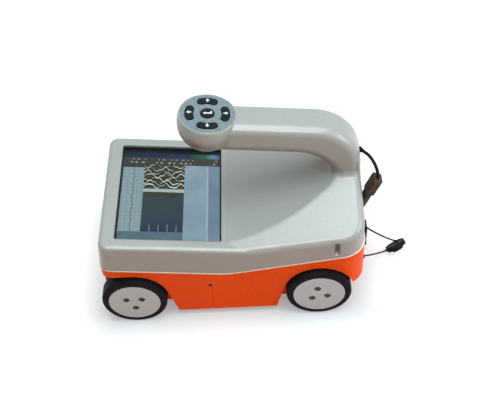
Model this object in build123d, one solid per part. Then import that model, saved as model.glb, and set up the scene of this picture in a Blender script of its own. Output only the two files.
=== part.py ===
from build123d import *
from math import atan, atan2, cos, hypot, radians, sin, sqrt, tan
import os

# Handheld concrete scanning radar: a wheeled orange base with the antenna, a silver casing with a
# sunk screen, and a handle that rises from the rear hump and carries a round key pod.
# Millimetres. +X points to the rear, -Y is the side seen first, +Z is up, the floor is z = 0.

# Running gear
WHEELBASE = 170.0
FRONT_AXLE_X = -93.0
TRACK_HALF = 75.0
TYRE_R = 30.0
TYRE_WIDTH = 16.0
TYRE_SHOULDER_R = 3.0
RIM_R = 23.4
RIM_WIDTH = 12.5
RIM_WALL = 3.0
RIM_WEB = 5.0
HUB_R = 12.0
DISC_R = 23.7
DISC_THICKNESS = 2.5
AXLE_R = 4.0
COLLAR_R = 6.5
COLLAR_WIDTH = 3.0
COLLAR_GAP = 0.3
BUSH_R = 6.5
BUSH_REACH = 3.5
BUSH_FLANGE_R = 8.5
BUSH_FLANGE = 1.2
HUB_SCREW_COUNT = 3
HUB_SCREW_CIRCLE_R = 8.2
HUB_SCREW_R = 1.9
HUB_SCREW_HEAD_R = 3.1
HUB_SCREW_HEAD = 1.6
HUB_SCREW_LENGTH = 6.0
HUB_SCREW_SOCKET_R = 1.3
SCREW_TURN = {"front": 30.0, "rear": -20.0}

# Casing: the front box, the hump and the handle share one tilt
TILT = 6.5
DECK_HEIGHT = 91.5
HALF_WIDTH = 70.0
WALL = 3.0
FRONT_MARGIN = 13.1
FRONT_CORNER_R = 9.0
DECK_EDGE_R = 4.0
BOX_REACH_X = 38.0
REAR_X = 118.0
REAR_LEAN = 1.2
REAR_CORNER_R = 20.0
HUMP_START_X = -10.0
HUMP_START_DROP = 1.3
SCOOP_TOP_X = 86.0
SCOOP_TOP_Z = 119.4
SCOOP_SAG = 3.9
POST_FOOT_RUN = 9.0
POST_FOOT_R = 7.0
POST_LEAN = 29.0
HANDLE_TOP_HEIGHT = 188.2
HANDLE_DEPTH = 29.7
HANDLE_HALF_WIDTH = 17.0
BEND_INNER_R = 38.0
BEND_OUTER_R = 45.0
FLANK_X = -5.9
FLANK_Y = 59.5
FLANK_Z = 92.1
FLANK_BACK_ANGLE = 6.504
FLANK_SIDE_ANGLE = 25.734
WAIST_R = 8.0
CROWN_R = 8.0
PALM_R = 10.0
COVER_START_X = 22.5
COVER_END_X = 56.0
COVER_DEPTH = 9.0
COVER_GAP = 0.1

# Screws between casing and base at the bottom of two flutes, and one in the back of the handle
FLUTE_X = 92.3
FLUTE_R = 3.0
FLUTE_IN = 2.4
FLUTE_FLOOR = 4.0
FLUTE_HEIGHT = 19.0
FLUTE_BOSS_WALL = 2.6
FLUTE_SCREW_LENGTH = 14.0
BASE_BOSS_R = 4.4
BASE_BOSS = 14.0
HANDLE_SCREW_DROP = 41.2
HANDLE_SCREW_SINK = 0.8
HANDLE_BOSS = 9.0
BOSS_R = 3.4
SCREW_R = 1.5
SCREW_HEAD_R = 2.8
SCREW_HEAD = 1.6
SCREW_LENGTH = 7.0

# Seam between casing and base, a shallow V seen from the side
SEAM_X = -5.7
SEAM_Z = 60.4
SEAM_FRONT_ANGLE = 6.7
SEAM_REAR_ANGLE = 8.8
SEAM_R = 60.0
GASKET_THICKNESS = 1.2
GASKET_PROUD = 0.35
GASKET_WIDTH = 2.6

# Screen
SCREEN_X = -55.4
SCREEN_LENGTH = 94.0
SCREEN_WIDTH = 117.4
SCREEN_CORNER_R = 1.5
SCREEN_LAND = 3.0
SCREEN_GASKET = 0.6
SCREEN_BOSS_ROOT = 0.5
GLASS_THICKNESS = 1.8
DISPLAY_INSET = 1.0
DISPLAY_THICKNESS = 7.0
BRACKET_THICKNESS = 1.5
BRACKET_BOSS_GAP = 0.2
BOARD_THICKNESS = 1.6
BOARD_SPACER = 6.0
BOARD_SPACER_R = 3.0
BOARD_LENGTH = 84.0
BOARD_WIDTH = 100.0

# Key pod, a ball cut flat by the key panel
POD_R = 26.0
POD_X = -14.4
POD_PANEL_LIFT = 8.4
POD_PANEL_RISE = 1.0
POD_WALL = 4.5
POD_LEDGE_R = 18.0
POD_LEDGE = 2.0
PANEL_R = 23.3
PANEL_THICKNESS = 2.4
PANEL_SKIRT_R = 21.9
PANEL_SKIRT_WALL = 0.9
PANEL_SKIRT = 1.9
MEMBRANE_THICKNESS = 0.7
KEY_BOARD_THICKNESS = 1.4
KEY_TURN = {"up": 90.0, "down": 270.0, "left": 180.0, "right": 0.0, "enter": 0.0}
KEY_ARC_R = 15.7
KEY_WIDTH = 7.0
KEY_HALF_ANGLE = 20.0
ENTER_R = 6.0
KEY_PROUD = 1.2
KEY_ROUND = 0.6
KEY_FLANGE = 0.75
KEY_FLANGE_LIP = 0.8

# Base
BASE_FRONT_OUT = 3.3
BASE_REAR_X = 119.0
BASE_BOTTOM = 8.0
BASE_FRONT_CHIN_Z = 36.0
BASE_FRONT_KEEL_X = -98.0
BASE_REAR_CHIN_Z = 37.0
BASE_REAR_LIP_X = 104.0
BASE_REAR_LIP_Z = 35.0
BASE_REAR_KEEL_X = 100.0
WELL_GAP = 2.0
WELL_SIDE_GAP = 2.0
WELL_FLARE = 15.0
MARK_X = -22.0
MARK_TOP_Z = 41.0
MARK_WIDTH = 1.0
LASER_Z = 44.5
LASER_R = 3.2
LASER_LENGTH = 18.0
LASER_NOSE_R = 2.0
LASER_SINK = 0.5

# Wear plate and antenna
PLATE_START_X = -56.0
PLATE_END_X = 42.0
PLATE_HALF_WIDTH = 50.0
PLATE_THICKNESS = 4.0
PLATE_EDGE = 2.5
PLATE_SCREW_INSET = 6.0
SHIELD_START_X = -52.0
SHIELD_END_X = 38.0
SHIELD_HALF_WIDTH = 34.0
SHIELD_HEIGHT = 27.0
SHIELD_WALL = 1.0
ANTENNA_MARGIN = 2.0
RADAR_LENGTH = 66.0
RADAR_WIDTH = 52.0
RADAR_HEIGHT = 10.0

# Wheel encoder on the rear axle
ENCODER_Y = -30.0
ENCODER_R = 13.0
ENCODER_THICKNESS = 1.0
ENCODER_HUB_R = 6.5
ENCODER_HUB_WIDTH = 6.0
ENCODER_SLOTS = 24
ENCODER_SLOT_WIDTH = 0.9
ENCODER_SLOT_LENGTH = 3.0
SENSOR_REACH = 3.5
SENSOR_GAP = 1.2
SENSOR_ARM = 4.0
SENSOR_BACK = 6.0
SENSOR_HALF_HEIGHT = 6.0

# Battery and its flap door on the far half of the rear wall
BATTERY_Y = 27.0
BATTERY_LENGTH = 62.0
BATTERY_WIDTH = 34.0
BATTERY_HEIGHT = 21.0
BATTERY_FLOOR_Z = 47.0
BATTERY_ROUND = 2.0
BATTERY_GAP = 0.4
TRAY_WALL = 1.6
TRAY_POST_R = 4.0
TRAY_POST_X = 92.0
DOOR_MARGIN = 3.0
DOOR_THICKNESS = 2.4
DOOR_GAP = 0.4
DOOR_FRAME = 3.5
DOOR_FRAME_MARGIN = 4.0
DOOR_GRIP_R = 7.0
DOOR_GRIP_DEPTH = 1.2
HINGE_R = 2.0
HINGE_LIFT = 0.6
HINGE_PIN_R = 1.0
HINGE_PIN_HOLD = 3.0
HINGE_INSET = 0.1

# Power button on the near half of the rear wall
BUTTON_Y = -43.0
BUTTON_Z = 66.0
BUTTON_R = 4.4
BUTTON_PROUD = 2.4
BUTTON_ROUND = 0.8
BUTTON_FLANGE = 1.0
BUTTON_LIP = 1.2
BUTTON_TRAVEL = 1.5
BUTTON_STOP_GAP = 0.4
SWITCH_COLLAR_WALL = 1.4
SWITCH_SIZE = 13.0
SWITCH_DEPTH = 7.0

# Handle lead: gland, cable, plug and the slanted pocket that takes the plug
LEAD_R = 1.5
GLAND_DROP = 47.9
GLAND_R = 2.6
GLAND_STEM_R = 2.2
GLAND_STEM = 4.2
GLAND_TIP_R = 2.0
PLUG_Y = -20.0
PLUG_TILT = 22.0
PLUG_MOUTH_Z = 91.1
PLUG_SEAT = 6.0
PLUG_GAP = 0.3
PLUG_NOSE_R = 1.75
PLUG_NOSE = 4.0
PLUG_BARREL_R = 4.6
PLUG_BARREL = 23.0
PLUG_GRIP = 19.0
PLUG_GRIP_WIDTH = 11.5
PLUG_GRIP_DEPTH = 9.0
PLUG_GRIP_R = 2.0
PLUG_GRIP_EDGE = 0.8
PLUG_BOOT = 6.0
PLUG_BOOT_R = 3.2
PLUG_BOOT_TIP_R = 2.0
SOCKET_WALL = 1.6
SOCKET_FLOOR = 5.0
SOCKET_REACH = 10.0
LEAD_END_Z = 125.6
# Route of the lead: x, y and the share of the height from LEAD_END_Z up to the gland
HANDLE_LEAD = [(118.9, -2.3, 1.0068), (122.0, -6.6, 1.068), (124.9, -11.0, 1.0476), (127.4, -15.4, 0.9184),
               (129.5, -18.9, 0.6871), (130.9, -21.0, 0.3673), (131.3, -21.4, 0.0)]
# Route of the cable inside the handle: x, y and the drop from HANDLE_TOP_HEIGHT
HANDLE_CABLE = [(112.53, 0.0, 47.9), (106.6, 0.0, 47.9), (100.8, 0.0, 45.4), (95.8, 0.0, 40.8),
                (90.4, 0.0, 35.6), (83.5, 0.0, 31.0), (74.0, 0.0, 27.4), (61.0, 0.0, 25.2),
                (42.0, 0.0, 23.2), (22.0, 0.0, 21.8), (8.6, 0.0, 21.6), (-0.6, 0.0, 20.0),
                (-6.6, 0.0, 16.2), (-9.7, 0.0, 10.8), (-8.96, 0.0, 4.43)]

# Dust cap, taken off its pocket and lying on the floor on its tether
TETHER_R = 0.8
CAP_X = 159.3
CAP_Y = -6.5
CAP_REST = 0.05
CAP_R = 10.0
CAP_THICKNESS = 5.0
CAP_TILT = 49.0
CAP_HEADING = 127.5
CAP_PEG_R = 5.5
CAP_PEG = 2.4
CAP_LIP = 1.6
CAP_DISH = 0.6
CAP_KNURLS = 24
CAP_KNURL_R = 0.9
CAP_KNURL_OUT = 0.4
CAP_LUG_R = 1.6
CAP_LUG_TIP_R = 1.2
CAP_LUG = 4.2
CLEAT_Y = -31.0
CLEAT_Z = 66.0
CLEAT_WIDTH = 12.0
CLEAT_HEIGHT = 17.0
CLEAT_PROUD = 4.0
CLEAT_ROUND = 1.5
ANCHOR_Y = -44.5
ANCHOR_Z = 44.0
ANCHOR_R = 2.6
ANCHOR_STEM_R = 1.3
ANCHOR_TIP_R = 1.2
TETHER_UPPER = [(122.4, -26.6, 66.0), (125.6, -24.2, 60.3), (131.6, -19.7, 49.9), (140.2, -13.3, 36.1),
                (148.0, -7.5, 24.2), (154.4, -2.7, 15.0), (157.9, 0.0, 10.2)]
TETHER_LOWER = [(120.7, -42.4, 42.3), (124.1, -38.5, 37.6), (129.6, -30.8, 28.5), (135.5, -22.0, 18.6),
                (140.9, -14.4, 10.4), (145.4, -9.4, 5.6), (148.7, -7.8, 5.2)]

# Clearances: SEAT round fixed pieces, RUN round turning ones, CUT and FAR for cutting tools
SEAT = 0.05
RUN = 0.05
KEY_GAP = 0.25
KEY_FLANGE_GAP = 0.05
CUT = 1.0
FAR = 1000.0

# How close counts as touching when edges are picked, an arc's share of its shorter run, and the
# shares of the post's front that its two bends and the waist's round may take
SAME_PLACE = 0.02
JOINED = 0.01
IN_LINE = 0.995
ARC_SHARE = 0.45
POST_SHARE = 0.98
WAIST_SHARE = 0.35

# Worked out from the sizes above
slope = tan(radians(TILT))
tilt_cos = cos(radians(TILT))
front_x = SCREEN_X - SCREEN_LENGTH / 2 - FRONT_MARGIN
base_front_x = front_x - BASE_FRONT_OUT
handle_screw_z = HANDLE_TOP_HEIGHT - HANDLE_SCREW_DROP
gland_z = HANDLE_TOP_HEIGHT - GLAND_DROP
handle_lead = [(x, y, LEAD_END_Z + share * (gland_z - LEAD_END_Z)) for x, y, share in HANDLE_LEAD]
handle_cable = [(x, y, HANDLE_TOP_HEIGHT - drop) for x, y, drop in HANDLE_CABLE]
sides = {"near": -1, "far": 1}
axle_x = {"front": FRONT_AXLE_X, "rear": FRONT_AXLE_X + WHEELBASE}
tyre_y0 = TRACK_HALF - TYRE_WIDTH
rim_y1 = TRACK_HALF - DISC_THICKNESS
rim_y0 = rim_y1 - RIM_WIDTH
well_r = TYRE_R + WELL_GAP
well_y = tyre_y0 - WELL_SIDE_GAP
bush_y0 = well_y - BUSH_REACH
collar_y = bush_y0 - COLLAR_GAP
inner_wall = BASE_REAR_X - WALL
floor_z = BASE_BOTTOM + WALL
shield_top = floor_z + SHIELD_HEIGHT
flute_y = HALF_WIDTH - FLUTE_IN
flute_z = SEAM_Z + tan(radians(SEAM_REAR_ANGLE)) * (FLUTE_X - SEAM_X)
glass_top = WALL + SCREEN_GASKET
display_low = glass_top + GLASS_THICKNESS + DISPLAY_THICKNESS
glass_length = SCREEN_LENGTH + 2 * SCREEN_LAND
glass_width = SCREEN_WIDTH + 2 * SCREEN_LAND
bracket_x = glass_length / 2 + BRACKET_BOSS_GAP + BOSS_R
bracket_y = glass_width / 2 - BOSS_R
bracket_places = [(sx * bracket_x, sy * bracket_y) for sx in (-1, 1) for sy in (-1, 1)]
board_low = PANEL_THICKNESS + PANEL_SKIRT + MEMBRANE_THICKNESS + KEY_BOARD_THICKNESS
tray_x1 = inner_wall - DOOR_FRAME
tray_x0 = tray_x1 - BATTERY_LENGTH - BATTERY_GAP - TRAY_WALL
tray_posts = (tray_x0 + TRAY_POST_R, TRAY_POST_X)
bay_y0 = BATTERY_Y - BATTERY_WIDTH / 2 - BATTERY_GAP
bay_y1 = BATTERY_Y + BATTERY_WIDTH / 2 + BATTERY_GAP
bay_top = BATTERY_FLOOR_Z + BATTERY_HEIGHT + BATTERY_GAP
door_y0 = bay_y0 - DOOR_MARGIN
door_y1 = bay_y1 + DOOR_MARGIN
door_z0 = BATTERY_FLOOR_Z - DOOR_MARGIN
door_seat = BASE_REAR_X - DOOR_THICKNESS - DOOR_GAP
hinge_x = BASE_REAR_X - HINGE_R - HINGE_INSET
hinge_z = bay_top + HINGE_R + DOOR_GAP + HINGE_LIFT
pin_y0 = door_y0 - HINGE_PIN_HOLD
pin_y1 = door_y1 + HINGE_PIN_HOLD
up = Vector(sin(radians(TILT)), 0, cos(radians(TILT)))
back = Vector(cos(radians(TILT)), 0, -sin(radians(TILT)))


def deck_z(x, inset=0.0):
    return DECK_HEIGHT - slope * x - inset / tilt_cos


def handle_top_z(x, inset=0.0):
    return HANDLE_TOP_HEIGHT - slope * x - inset / tilt_cos


def handle_under_z(x, inset=0.0):
    return HANDLE_TOP_HEIGHT - slope * x - (HANDLE_DEPTH - inset) / tilt_cos


def rear_x(z):
    return REAR_X - tan(radians(REAR_LEAN)) * (z - DECK_HEIGHT)


def block(x0, x1, y0, y1, z0, z1):
    return Pos((x0 + x1) / 2, (y0 + y1) / 2, (z0 + z1) / 2) * Box(x1 - x0, y1 - y0, z1 - z0)


def rod_x(y, z, radius, x0, x1):
    return Pos((x0 + x1) / 2, y, z) * Rot(0, 90, 0) * Cylinder(radius, abs(x1 - x0))


def rod_y(x, z, radius, y0, y1):
    return Pos(x, (y0 + y1) / 2, z) * Rot(90, 0, 0) * Cylinder(radius, abs(y1 - y0))


def rod_z(x, y, radius, z0, z1):
    return Pos(x, y, (z0 + z1) / 2) * Cylinder(radius, abs(z1 - z0))


def side_slab(face, half):
    """A side-view face carried across the part, half to each side of the middle plane."""
    return extrude(Plane.XZ * face, amount=half, both=True)


def frame_at(origin, direction, x_dir=None):
    return Plane(origin=origin, x_dir=x_dir, z_dir=direction).location


def group(solids):
    return Compound(children=solids)


def edges_where(shape, test):
    return ShapeList([edge for edge in shape.edges() if test(edge @ 0, edge @ 0.5, edge @ 1)])


def same(value, target):
    return abs(value - target) < SAME_PLACE


def tangent_chain(shape, seeds):
    """The seed edges and every edge that continues them without a corner."""
    pool = shape.edges()
    chain = list(seeds)
    queue = list(seeds)
    while queue:
        edge = queue.pop()
        for end in (0, 1):
            for other in pool:
                if any(other.is_same(known) for known in chain):
                    continue
                if any(continues(edge, end, other, other_end) for other_end in (0, 1)):
                    chain.append(other)
                    queue.append(other)
    return ShapeList(chain)


def continues(edge, end, other, other_end):
    meets = (other @ other_end - edge @ end).length < JOINED
    return meets and abs((other % other_end).dot(edge % end)) > IN_LINE


def meet(point, angle, base, base_slope):
    """Where a line from a point at an angle meets the line z = base - base_slope * x."""
    reach = (base - base_slope * point[0] - point[1]) / (sin(angle) + base_slope * cos(angle))
    return (point[0] + reach * cos(angle), point[1] + reach * sin(angle))


def bend_corner():
    """Where the lines of the handle's top and of the rear wall would meet."""
    return meet((REAR_X, DECK_HEIGHT), radians(90 + REAR_LEAN), HANDLE_TOP_HEIGHT, slope)


def back_x(z):
    """Rear of the handle at a height: the leaning wall, then the bend above it."""
    lean = radians(REAR_LEAN)
    half_turn = radians(90 - TILT - REAR_LEAN) / 2
    start_z = bend_corner()[1] - BEND_OUTER_R * tan(half_turn) * cos(lean)
    if z < start_z:
        return rear_x(z)
    centre_x = rear_x(start_z) - BEND_OUTER_R * cos(lean)
    centre_z = start_z - BEND_OUTER_R * sin(lean)
    return centre_x + sqrt(BEND_OUTER_R ** 2 - (z - centre_z) ** 2)


def scoop_ends():
    """Side view of the scoop: its front end, its top end and its heading there."""
    start = (HUMP_START_X, deck_z(HUMP_START_X) - HUMP_START_DROP)
    run = SCOOP_TOP_X - start[0]
    rise = SCOOP_TOP_Z - start[1]
    heading = atan2(rise, run) + 2 * atan(2 * SCOOP_SAG / hypot(run, rise))
    return start, (SCOOP_TOP_X, SCOOP_TOP_Z), heading


def post_front():
    """The straight front of the handle's post: its foot, its top and its length."""
    start, top, heading = scoop_ends()
    foot = (top[0] + POST_FOOT_RUN * cos(heading), top[1] + POST_FOOT_RUN * sin(heading))
    inner = meet(foot, radians(90 + POST_LEAN), handle_under_z(0), slope)
    return foot, inner, hypot(inner[0] - foot[0], inner[1] - foot[1])


def hump_outline():
    """Side view of hump and handle: scoop, foot of the post, grip opening, handle and rear."""
    low = BASE_BOTTOM
    start, top, heading = scoop_ends()
    foot, inner, post = post_front()
    foot_half = (radians(90 + POST_LEAN) - heading) / 2
    bend_half = radians(90 - POST_LEAN - TILT) / 2
    foot_r = min(POST_FOOT_R, ARC_SHARE * post / tan(foot_half))
    bend_r = min(BEND_INNER_R, (POST_SHARE * post - foot_r * tan(foot_half)) / tan(bend_half))
    rear_low = (rear_x(low), low)
    under_end = (POD_X, handle_under_z(POD_X))
    top_end = (POD_X, handle_top_z(POD_X))
    edges = Line((HUMP_START_X, low), start) + SagittaArc(start, top, -SCOOP_SAG)
    edges += FilletPolyline(top, foot, inner, under_end, radius=[foot_r, bend_r])
    edges += Line(under_end, top_end)
    edges += FilletPolyline(top_end, bend_corner(), rear_low, radius=[BEND_OUTER_R])
    edges += Line(rear_low, (HUMP_START_X, low))
    return make_face(edges)


def flank_plane(side, inset):
    normal = Vector(-tan(radians(FLANK_BACK_ANGLE)), side * tan(radians(FLANK_SIDE_ANGLE)), 1).normalized()
    return Plane(origin=Vector(FLANK_X, side * FLANK_Y, FLANK_Z) - normal * inset, z_dir=normal)


def on_flank(point, inset):
    gaps = [flank_plane(side, inset).to_local_coords(point).Z for side in sides.values()]
    return min(abs(gap) for gap in gaps) < SAME_PLACE


def hump_form(inset):
    """Hump and handle: the side view, kept under the two flanks outside the handle's width."""
    face = hump_outline()
    if inset:
        face = offset(face, amount=-inset, kind=Kind.INTERSECTION)
    half = HALF_WIDTH - inset
    grip = HANDLE_HALF_WIDTH - inset
    roof = Box(FAR, FAR, FAR)
    for side in sides.values():
        roof = split(roof, bisect_by=flank_plane(side, inset), keep=Keep.BOTTOM)
    form = side_slab(face, half) & (roof + Box(FAR, 2 * grip, FAR))
    rear = edges_where(form, lambda a, m, b: same(abs(m.Y), half) and m.X > SCOOP_TOP_X
                       and abs(a.Z - b.Z) > abs(a.X - b.X))
    form = fillet(rear, REAR_CORNER_R - inset)
    waist = edges_where(form, lambda a, m, b: same(abs(a.Y), grip) and same(abs(b.Y), grip)
                        and on_flank(m, inset))
    form = fillet(waist, min(WAIST_R, WAIST_SHARE * post_front()[2]) + inset)
    crown = edges_where(form, lambda a, m, b: same(abs(m.Y), grip) and same(m.Z, handle_top_z(m.X, inset)))
    form = fillet(tangent_chain(form, crown), CROWN_R - inset)
    palm = edges_where(form, lambda a, m, b: same(abs(m.Y), grip) and same(m.Z, handle_under_z(m.X, inset)))
    return fillet(tangent_chain(form, palm), PALM_R - inset)


def box_form(inset):
    """Front box under the screen: its faces are square to the tilted deck."""
    half = HALF_WIDTH - inset
    top_x = front_x + inset / tilt_cos
    low = BASE_BOTTOM
    corner = (top_x - slope * inset, deck_z(top_x - slope * inset, inset))
    foot = (corner[0] - slope * (corner[1] - low), low)
    outline = Polyline(foot, corner, (BOX_REACH_X, deck_z(BOX_REACH_X, inset)), (BOX_REACH_X, low),
                       close=True)
    form = side_slab(make_face(outline), half)
    front = edges_where(form, lambda a, m, b: same(abs(m.Y), half) and m.X < corner[0] + CUT
                        and abs(a.Z - b.Z) > WALL)
    form = fillet(front, FRONT_CORNER_R - inset)
    top = edges_where(form, lambda a, m, b: same(abs(m.Y), half) and same(m.Z, deck_z(m.X, inset)))
    return fillet(tangent_chain(form, top), DECK_EDGE_R - inset)


def below_seam(shift):
    """Everything under the seam surface moved up by shift."""
    front = (-FAR, SEAM_Z + shift + tan(radians(SEAM_FRONT_ANGLE)) * (FAR + SEAM_X))
    rear = (FAR, SEAM_Z + shift + tan(radians(SEAM_REAR_ANGLE)) * (FAR - SEAM_X))
    line = FilletPolyline(front, (SEAM_X, SEAM_Z + shift), rear, radius=[SEAM_R])
    edges = line + Polyline(rear, (FAR, -FAR), (-FAR, -FAR), front)
    return side_slab(make_face(edges), FAR)


def base_block(inset):
    """The base's side view with rounded upright corners, reaching above the seam."""
    half = HALF_WIDTH - inset
    face = make_face(Polyline((base_front_x, FAR), (base_front_x, BASE_FRONT_CHIN_Z),
                              (BASE_FRONT_KEEL_X, BASE_BOTTOM), (BASE_REAR_KEEL_X, BASE_BOTTOM),
                              (BASE_REAR_LIP_X, BASE_REAR_LIP_Z), (BASE_REAR_X, BASE_REAR_CHIN_Z),
                              (BASE_REAR_X, FAR), close=True))
    if inset:
        face = offset(face, amount=-inset, kind=Kind.INTERSECTION)
    form = side_slab(face, half)
    front = edges_where(form, lambda a, m, b: same(abs(m.Y), half) and same(a.X, b.X) and m.X < 0)
    form = fillet(front, FRONT_CORNER_R - inset)
    rear = edges_where(form, lambda a, m, b: same(abs(m.Y), half) and same(a.X, b.X) and m.X > 0)
    return fillet(rear, REAR_CORNER_R - inset)


def wheel_well(end, side, grow):
    """Room for one wheel: an arch that flares towards the middle and is open towards its own end."""
    x = axle_x[end]
    inward = 1 if end == "front" else -1
    reach = well_r + grow
    flare = radians(WELL_FLARE)
    top_x = x + inward * reach * cos(flare)
    top_z = TYRE_R + reach * sin(flare)
    low_x = top_x + inward * (top_z + CUT) * tan(flare)
    room = Pos(x, TYRE_R) * Circle(reach)
    room += make_face(Polyline((x, top_z), (top_x, top_z), (low_x, -CUT), (x, -CUT), close=True))
    lintel_z = TYRE_R + reach if end == "front" else BASE_REAR_CHIN_Z + grow
    room += make_face(Polyline((x, lintel_z), (-inward * FAR, lintel_z), (-inward * FAR, -CUT), (x, -CUT),
                               close=True))
    well = side_slab(room, FAR)
    if side < 0:
        return well & block(-FAR, FAR, -FAR, grow - well_y, -FAR, FAR)
    return well & block(-FAR, FAR, well_y - grow, FAR, -FAR, FAR)


def plug_frame(distance):
    """Frame on the plug's axis, a distance up from where the axis meets the rear wall."""
    axis = Vector(sin(radians(PLUG_TILT)), 0, cos(radians(PLUG_TILT)))
    mouth = Vector(rear_x(PLUG_MOUTH_Z), PLUG_Y, PLUG_MOUTH_Z)
    return frame_at(mouth + axis * distance, axis, Vector(0, 1, 0))


def tube(name, points, radius):
    """A round cord along straight runs joined by the largest tangent arcs that the runs allow."""
    corners = [Vector(*point) for point in points]
    radii = []
    for before, here, after in zip(corners, corners[1:], corners[2:]):
        turn = (here - before).get_angle(after - here)
        shorter = min((here - before).length, (after - here).length)
        radii.append(ARC_SHARE * shorter / tan(radians(turn / 2)))
    path = FilletPolyline(*corners, radius=radii)
    section = Plane(origin=path @ 0, z_dir=path % 0) * Circle(radius)
    cord = sweep(section, path=path)
    print(name, "radii", [round(value, 1) for value in radii], "length", round(path.length, 1),
          "volume over section times length", round(cord.volume / (section.area * path.length), 4))
    return cord


def sleeve(points, tip_r, root_r, length):
    """A short sleeve that ends square against the first point of a cord."""
    tip = Vector(*points[0])
    along = (Vector(*points[1]) - tip).normalized()
    return frame_at(tip - along * (length / 2), along) * Cone(root_r, tip_r, length)


panel_x = POD_X + POD_PANEL_LIFT * sin(radians(TILT))
panel_origin = Vector(panel_x, 0, handle_top_z(panel_x) + POD_PANEL_RISE)
pod_centre = panel_origin - up * POD_PANEL_LIFT
panel_frame = frame_at(panel_origin, up, back)
deck_frame = frame_at(Vector(SCREEN_X, 0, deck_z(SCREEN_X)), up, back)
cap_up = Vector(sin(radians(CAP_TILT)) * cos(radians(CAP_HEADING)),
                sin(radians(CAP_TILT)) * sin(radians(CAP_HEADING)), cos(radians(CAP_TILT)))
cap_frame = frame_at(Vector(CAP_X, CAP_Y, CAP_R * sin(radians(CAP_TILT)) + CAP_REST), cap_up)

nodes = {}


# Base tub, wear plate and seam gasket
def plate_screw_places():
    xs = (PLATE_START_X + PLATE_SCREW_INSET, PLATE_END_X - PLATE_SCREW_INSET)
    ys = (-PLATE_HALF_WIDTH + PLATE_SCREW_INSET, PLATE_HALF_WIDTH - PLATE_SCREW_INSET)
    return [(x, y) for x in xs for y in ys]


def countersunk(length, grow):
    """A countersunk screw with its head's face at z = 0 and its shank pointing up."""
    head = Pos(0, 0, SCREW_HEAD / 2) * Cone(SCREW_HEAD_R + grow, SCREW_R + grow, SCREW_HEAD)
    return head + Pos(0, 0, length / 2) * Cylinder(SCREW_R + grow, length)


def door_recess():
    """Everything cut from the rear wall for the battery, its door and the door's swing."""
    y0 = door_y0 - DOOR_GAP
    y1 = door_y1 + DOOR_GAP
    ledge = hinge_z + HINGE_R + DOOR_GAP
    recess = block(door_seat - WALL - DOOR_FRAME, FAR, bay_y0, bay_y1, BATTERY_FLOOR_Z, bay_top)
    recess += block(door_seat, FAR, y0, y1, door_z0 - DOOR_GAP, hinge_z)
    recess += rod_y(hinge_x, hinge_z, HINGE_R + DOOR_GAP, y0, y1)
    recess += block(hinge_x, FAR, y0, y1, hinge_z, ledge)
    return recess + rod_y(hinge_x, hinge_z, HINGE_PIN_R + SEAT, pin_y0 - SEAT, pin_y1 + SEAT)


def make_base():
    outer = base_block(0)
    hollow = base_block(WALL)
    for end in axle_x:
        for side in sides.values():
            outer -= wheel_well(end, side, 0)
            hollow -= wheel_well(end, side, WALL)
    hollow -= block(tray_x1, FAR, door_y0 - DOOR_FRAME_MARGIN, door_y1 + DOOR_FRAME_MARGIN,
                    door_z0 - DOOR_FRAME_MARGIN, FAR)
    for x in tray_posts:
        hollow -= rod_z(x, BATTERY_Y, TRAY_POST_R, 0, BATTERY_FLOOR_Z - TRAY_WALL)
    for side in sides.values():
        hollow -= rod_z(FLUTE_X, side * flute_y, BASE_BOSS_R, flute_z - BASE_BOSS, FAR)
    base = outer - hollow
    base &= below_seam(-GASKET_THICKNESS)
    for x in axle_x.values():
        base -= rod_y(x, TYRE_R, BUSH_R + SEAT, -HALF_WIDTH, HALF_WIDTH)
    base -= door_recess()
    base -= rod_x(BUTTON_Y, BUTTON_Z, BUTTON_R + KEY_GAP, inner_wall - CUT, FAR)
    base -= rod_x(ANCHOR_Y, ANCHOR_Z, ANCHOR_STEM_R + SEAT, inner_wall - CUT, FAR)
    for side in sides.values():
        base -= rod_y(MARK_X, LASER_Z, LASER_NOSE_R + SEAT, 0, FAR * side)
        groove = Rot(0, 0, 45) * Box(MARK_WIDTH, MARK_WIDTH, 2 * MARK_TOP_Z)
        base -= Pos(MARK_X, side * HALF_WIDTH, 0) * groove
        base -= flute_screw(side, SEAT)
    for x, y in plate_screw_places():
        base -= rod_z(x, y, SCREW_R + SEAT, 0, floor_z + CUT)
    return base


def make_wear_plate():
    low = BASE_BOTTOM - PLATE_THICKNESS
    outline = Polyline((PLATE_START_X, BASE_BOTTOM), (PLATE_START_X + PLATE_EDGE, low),
                       (PLATE_END_X - PLATE_EDGE, low), (PLATE_END_X, BASE_BOTTOM), close=True)
    plate = side_slab(make_face(outline), PLATE_HALF_WIDTH)
    for x, y in plate_screw_places():
        plate -= Pos(x, y, low) * countersunk(PLATE_THICKNESS + CUT, SEAT)
    return plate


def flute_screw(side, grow):
    """Screw that joins casing and base from the bottom of a flute, head up."""
    head_z = flute_z + FLUTE_FLOOR
    screw = rod_z(FLUTE_X, side * flute_y, SCREW_HEAD_R + grow, head_z, head_z + SCREW_HEAD)
    return screw + rod_z(FLUTE_X, side * flute_y, SCREW_R + grow, head_z - FLUTE_SCREW_LENGTH, head_z)


def handle_screw(grow):
    """Screw sunk in the back of the handle, above the gland."""
    x = back_x(handle_screw_z) - HANDLE_SCREW_SINK
    screw = rod_x(0, handle_screw_z, SCREW_HEAD_R + grow, x - SCREW_HEAD, x)
    return screw + rod_x(0, handle_screw_z, SCREW_R + grow, x - SCREW_HEAD - SCREW_LENGTH, x)


def make_gasket():
    band = below_seam(0) - below_seam(-GASKET_THICKNESS)
    ring = (base_block(-GASKET_PROUD) - base_block(GASKET_WIDTH)) & band
    for side in sides.values():
        ring -= flute_screw(side, SEAT)
    return ring


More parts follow.
